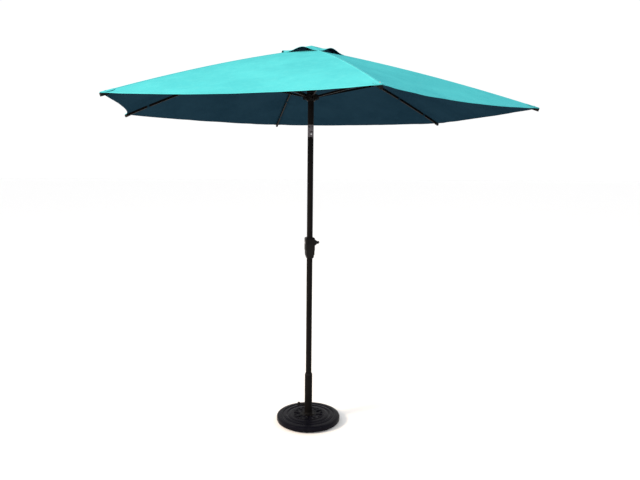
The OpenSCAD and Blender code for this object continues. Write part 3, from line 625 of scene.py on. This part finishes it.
def half_panel(rib, side):
    """Half of a main panel, from a rib to the panel's middle line, with its hem and stitching."""
    length = TIP_R - OPEN_R
    hem_rows = 1 - np.array([HEM + FOLD_END, HEM, HEM * 0.5, ROUND_EDGE, 0.0]) / length
    top_rows = np.array([0.0, ROUND_EDGE, TOP_HEM, TOP_HEM + FOLD_END]) / length
    rows = 1 - (1 - np.linspace(0, 1, 76)) ** 1.25
    t = np.concatenate([top_rows, (top_rows[-1] + (hem_rows[0] - top_rows[-1]) * rows)[1:-1], hem_rows])
    t = t[:, None]
    w = np.concatenate([[0], (np.linspace(0, 1, 34) ** 1.4)[1:-1], [0.985, 0.9925, 1.0]])[None, :]
    grid = panel_point(rib, side, t, w)
    doubled = np.minimum(ease((t - hem_rows[0]) / (hem_rows[1] - hem_rows[0])) + 1 - ease(
        (t - top_rows[2]) / (top_rows[3] - top_rows[2])), 1)
    end = ease((1 - t) * length / ROUND_EDGE)
    swell = SWELL * doubled * (0.4 + 0.6 * end) * np.ones_like(w)
    grid[..., 2] += swell
    drop = np.zeros_like(grid)
    drop[..., 2] = -(CLOTH + 2 * swell)
    r = OPEN_R + length * t
    uv = np.stack([np.broadcast_to(side * r * sin(HALF) * (1 - w), grid.shape[:2]),
                   np.broadcast_to(r, grid.shape[:2])], axis=-1)
    letter = "b" if side > 0 else "a"
    name = f"canopy_panel_{rib}{letter}"
    piece = add_object(name, sheet_mesh(name, grid, drop, uv), [cloth_top, cloth_under_painted_shade])
    fold_with(piece, rib)
    inset = 1 - (HEM - 0.004) / length
    line = panel_point(rib, side, inset, np.linspace(0.02, 1.0, 90))
    line[:, 2] += SWELL
    sewn = stitches(f"hem_stitches_{rib}{letter}", [(line, (0, 0, 1))], None)
    fold_with(sewn, rib)
    return piece


def half_vent(rib, side):
    """Half of one side of the top tier, from a rib to the middle of the side."""
    low = 0.03 / VENT_R
    edge = 1 - np.array([VENT_HEM + 0.001, VENT_HEM, 0.0012, 0.0]) / VENT_R
    t = np.concatenate([np.linspace(low, edge[0], 22)[:-1], edge])[:, None]
    w = np.concatenate([np.linspace(0, 1, 16)[:-1], [0.97, 0.985, 1.0]])[None, :]
    grid = vent_point(rib, side, t, w)
    swell = VENT_SWELL * ease((t - edge[0]) / (edge[1] - edge[0])) * np.ones_like(w)
    grid[..., 2] += swell
    drop = np.zeros_like(grid)
    drop[..., 2] = -(CLOTH + 2 * swell)
    across = t * VENT_R * (w - 1) * sin(HALF)
    uv = np.stack([side * across, np.broadcast_to(t * VENT_R, across.shape)], axis=-1)
    letter = "b" if side > 0 else "a"
    name = f"vent_panel_{rib}{letter}"
    piece = add_object(name, sheet_mesh(name, grid, drop, uv), [cloth_top, cloth_under_painted_shade])
    fold_with(piece, rib)
    line = vent_point(rib, side, 1 - 0.007 / VENT_R, np.linspace(0.03, 1.0, 40))
    line[:, 2] += VENT_SWELL
    sewn = stitches(f"vent_stitches_{rib}{letter}", [(line, (0, 0, 1))], None, FINE_STITCH)
    fold_with(sewn, rib)
    return piece


def crown_patch():
    """The round patch over the middle of the top tier, sewn down near its edge."""
    turns, half, raised = 72, 180 / RIBS, 0.0011
    rows = np.array([0.004, 0.012, 0.022, 0.034, 0.046, 0.058, 0.067, 0.0735, CROWN_PATCH_R])
    grid = np.zeros((len(rows), turns, 3))
    for j in range(turns):
        angle = 360 * j / turns
        rib, past = int(angle // (2 * half)) + 1, angle % (2 * half)
        side, w = (1, past / half) if past <= half else (-1, (2 * half - past) / half)
        rib = rib if side > 0 else rib % RIBS + 1
        edge = VENT_R * cos(HALF) / cos(HALF * (1 - w))
        for k, r in enumerate(rows):
            grid[k, j] = vent_point(rib, side, r / edge, w)
    grid[..., 2] += raised
    flat = grid[..., :2].copy()
    name = "vent_crown"
    mesh = sheet_mesh(name, grid, (0, 0, -CLOTH), flat, centre=(0, 0, CROWN_Z + raised), ring=True)
    piece = add_object(name, mesh, [cloth_top, cloth_under_painted_shade], "upper")
    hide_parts("canopy_vent")
    lines = []
    for inset in (0.0035, 0.0075):
        at = np.array([[np.interp(CROWN_PATCH_R - inset, rows, grid[:, j, k]) for k in range(3)]
                       for j in list(range(turns)) + [0]])
        lines.append((at, (0, 0, 1)))
    sewn = stitches("vent_crown_stitches", lines, "upper", FINE_STITCH)
    return piece


def along_rib(rib, r, across, lift):
    """A point over a rib: r from the axis, across to its side, lift above the cloth."""
    turn = rib_turn(rib)
    r, across, lift = np.broadcast_arrays(*[np.asarray(v, float) for v in (r, across, lift)])
    z = cloth_z(r) - ridge_fall(r, np.abs(across)) + lift
    return turned(np.stack([r, across, z], axis=-1), turn)


def ridge_fall(r, across):
    """How far the cloth falls away from a rib's ridge at that distance to its side."""
    slope = FALL / TIP_R - 4 * BOW_Z * (1 - 2 * r / TIP_R) / TIP_R
    sag = 4 * PANEL_SAG / r * np.sin(pi / 2 * np.clip((r - OPEN_R) / (0.8 * (TIP_R - OPEN_R)), 0, 1))
    return across * (slope * tan(HALF) + sag)


def rib_seam(rib):
    """The felled seam over a rib, with two rows of stitches."""
    body = f"rib_arm_{rib}"
    # Radii of the last stitch, of the seam's end and of the point that it tapers towards
    last, end, point = 1.30, 1.3485, 1.3495
    r = np.concatenate([np.linspace(OPEN_R + 0.001, last, 60), np.linspace(last, end, 8)[1:]])[:, None]
    across = np.array([-1, -0.9, -0.5, 0, 0.5, 0.9, 1])[None, :] * SEAM
    lift = np.array([0.0002, 0.0009, 0.0011, 0.00125, 0.0011, 0.0009, 0.0002])[None, :]
    narrow = np.minimum(1, (point - r) / 0.008)
    grid = along_rib(rib, r, across * narrow, lift)
    name = f"rib_seam_{rib}"
    drop = np.zeros_like(grid)
    drop[..., 2] = -0.0009
    uv = np.stack([np.broadcast_to(across, grid.shape[:2]),
                   np.broadcast_to(r, grid.shape[:2])], axis=-1)
    seam = add_object(name, sheet_mesh(name, grid, drop, uv), [cloth_top, cloth_under_painted_shade], body)
    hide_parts(f"canopy_gore_{rib}")
    run_r = np.linspace(OPEN_R + 0.004, last, 160)
    runs = [(along_rib(rib, run_r, s * 0.0052, 0.0011), (0, 0, 1)) for s in (-1, 1)]
    sewn = stitches(f"seam_stitches_{rib}", runs, body)


def tip_patch(rib):
    """The reinforcing patch folded over the canopy's corner, and the rivet through it."""
    body = f"rib_arm_{rib}"
    back, front = TIP_PATCH_R
    r = np.linspace(back, front, 22)[:, None]
    width = np.minimum(TIP_PATCH_W + 0 * r, 0.0035 + 1.05 * (front - r))
    width = width * (0.55 + 0.45 * ease((r - back) / 0.018))
    across = np.linspace(-1, 1, 17)[None, :] * width
    over_seam = 0.0011 * (1 - ease((np.abs(across) - SEAM * 0.8) / 0.004))
    lift = 0.0011 + over_seam + 0 * r
    grid = along_rib(rib, r + 0 * across, across, lift)
    drop = np.zeros_like(grid)
    drop[..., 2] = -0.0008
    uv = np.stack([across + 0 * r, r + 0 * across], axis=-1)
    name = f"tip_patch_{rib}"
    patch = add_object(name, sheet_mesh(name, grid, drop, uv), [cloth_top, cloth_under_painted_shade], body)
    rim = []
    for k in (-1, 1):
        rs = np.linspace(1.284, 1.338, 24)
        ws = np.minimum(TIP_PATCH_W, 0.0035 + 1.05 * (front - rs)) - 0.0035
        rim.append((along_rib(rib, rs, k * ws, 0.0013), (0, 0, 1)))
    end = np.linspace(-0.010, 0.010, 12)
    rim.append((along_rib(rib, 1.2815, end, 0.0014 + 0.0011 * (np.abs(end) < SEAM)), (0, 0, 1)))
    sewn = stitches(f"tip_stitches_{rib}", rim, body, 0.0045)
    head = [(0, 0.0017), (0.0022, 0.0016), (0.0038, 0.0010),
            (0.0046, 0.0002), (0.0044, -0.0004), (0, -0.0004)]
    rivet = lathe(f"tip_rivet_{rib}", head, [LOOKS["steel"]], 24)
    at = along_rib(rib, RIVET_R, 0.0, 0.0024)
    tilt = Matrix.Rotation(rib_turn(rib), 4, "Z") @ Matrix.Rotation(RIB_SLOPE + 0.06, 4, "Y")
    rivet.data.transform(Matrix.Translation(Vector(at)) @ tilt)
    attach(rivet, body)


def rib_loops(rib):
    """Bands of cloth that tie the canopy to a rib from below. The section's points are
    (across the rib, lift over the cloth), from one side round under the rib to the other."""
    half = [(0.0125, -0.0009), (0.0066, -0.0012), (0.0053, -0.0030), (0.0050, -0.0100),
            (0.0050, -0.0170), (0.0044, -0.0182)]
    section = np.array([(-y, z) for y, z in half] + [(0.0, -0.0184)] + half[::-1])
    for k, r in enumerate(LOOP_R):
        rs = (r + np.linspace(-LOOP_W, LOOP_W, 7))[:, None]
        grid = along_rib(rib, rs, section[None, :, 0], section[None, :, 1])
        fallen = ridge_fall(rs, np.abs(section[None, :, 0]))
        grid[..., 2] += fallen * ease((-0.002 - section[None, :, 1]) / 0.006)
        outward = np.gradient(section, axis=0)
        outward /= np.linalg.norm(outward, axis=1)[:, None]
        offset = np.stack([outward[:, 1], -outward[:, 0]], axis=1) * 0.0007
        drop = turned(np.stack([0 * offset[:, 0], offset[:, 0], offset[:, 1]], axis=-1), rib_turn(rib))
        name = f"rib_loop_{rib}_{k + 1}"
        uv = np.stack([np.broadcast_to(np.linspace(0, 0.05, len(section))[None, :], grid.shape[:2]),
                       np.broadcast_to(rs, grid.shape[:2])], axis=-1)
        mesh = sheet_mesh(name, grid, np.broadcast_to(drop[None], grid.shape), uv)
        # Painted shade: the bands carry the dark underside cloth on both faces.
        piece = add_object(name, mesh, [cloth_under_painted_shade, cloth_under_painted_shade], f"rib_arm_{rib}")


def outer_cord():
    """The lift cord outside the pole, as a round tube in place of its CAD node."""
    low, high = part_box("lift_cord_outer")
    middle = (low + high) / 2
    radius = (high.y - low.y) / 2
    rings, sides = 26, 14
    points, faces = [], []
    for m in range(rings):
        z = high.z + (low.z - high.z) * m / (rings - 1)
        for k in range(sides):
            a = 2 * pi * k / sides
            points.append((middle.x + radius * cos(a), middle.y + radius * sin(a), z))
    for m in range(rings - 1):
        for k in range(sides):
            p, q = m * sides + k, m * sides + (k + 1) % sides
            faces.append([p, p + sides, q + sides, q])
    faces.append(list(range(sides)))
    faces.append([(rings - 1) * sides + k for k in range(sides)][::-1])
    mesh = bpy.data.meshes.new("lift_cord_free")
    mesh.from_pydata(points, [], faces)
    mesh.validate()
    piece = add_object("lift_cord_free", mesh, [LOOKS["cord"]], None, 60)
    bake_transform(piece)
    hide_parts("lift_cord_outer")


# ---------- Camera, light and floor ----------

def camera():
    """At the photograph's viewing angle: to the left of the front, at eye height."""
    turn, yaw, pitch, roll = radians(-12.0635), 0.0224, -0.1289, 0.0108
    eye = Vector((-0.0183, -3.7759, 1.709))
    right0 = Vector((cos(yaw), -sin(yaw), 0))
    ahead = Vector((sin(yaw) * cos(pitch), cos(yaw) * cos(pitch), sin(pitch)))
    up0 = right0.cross(ahead)
    right = right0 * cos(roll) + up0 * sin(roll)
    up = up0 * cos(roll) - right0 * sin(roll)
    basis = Matrix((right, up, -ahead)).transposed().to_4x4()
    data = bpy.data.cameras.new("camera")
    data.lens = 33.2
    data.sensor_width = 36.0
    data.clip_end = 200.0
    made = bpy.data.objects.new("camera", data)
    bpy.context.scene.collection.objects.link(made)
    made.matrix_world = Matrix.Rotation(turn, 4, "Z") @ Matrix.Translation(eye) @ basis
    bpy.context.scene.camera = made


def area_light(name, at, aim, size, watts, colour):
    data = bpy.data.lights.new(name, "AREA")
    data.shape = "DISK"
    data.size = size
    data.energy = watts
    data.color = colour
    made = bpy.data.objects.new(name, data)
    made.location = at
    made.rotation_euler = (Vector(aim) - Vector(at)).to_track_quat("-Z", "Y").to_euler()
    bpy.context.scene.collection.objects.link(made)


def studio():
    world = bpy.data.worlds.new("studio")
    world.use_nodes = True
    sky = world.node_tree.nodes["Background"]
    sky.inputs["Color"].default_value = rgba(1.0, 1.0, 1.0)
    sky.inputs["Strength"].default_value = 1.03
    bpy.context.scene.world = world
    bpy.context.scene.view_settings.view_transform = "Standard"
    centre = (0, 0, 1.9)
    area_light("key", (-6.6, -1.6, 4.2), centre, 2.2, 690, (1.0, 0.80, 0.62))
    area_light("front", (-1.6, -5.6, 3.4), (0, 0, 0.4), 1.6, 60, (1.0, 0.97, 0.93))
    made, tree, shader = material("floor", Specular_IOR_Level=0.1)
    at = place(tree)
    tone = mix(tree, noise(tree, at, 0.8, 3), rgba(0.955, 0.955, 0.955), rgba(0.97, 0.97, 0.97))
    finish_material(tree, shader, tone, spread(tree, noise(tree, at, 3), 0, 1, 0.75, 0.85),
                    bump(tree, noise(tree, at, 120), 0.02, 0.001))
    mesh = bpy.data.meshes.new("floor")
    reach = 60.0
    mesh.from_pydata([(-reach, -reach, 0), (reach, -reach, 0), (reach, reach, 0), (-reach, reach, 0)],
                     [], [(0, 1, 2, 3)])
    add_object("floor", mesh, [made])


# ---------- Assembly ----------

camera()
studio()

for name, piece in nodes.items():
    piece.data.materials.clear()
    piece.data.materials.append(look_of(name))
for name, width in ROUNDING.items():
    refined(name, width)
spring("tilt_spring")
spring("snap_spring")

for rib in range(1, RIBS + 1):
    for side in (-1, 1):
        half_panel(rib, side)
        half_vent(rib, side)
    rib_seam(rib)
    tip_patch(rib)
    rib_loops(rib)
crown_patch()
outer_cord()
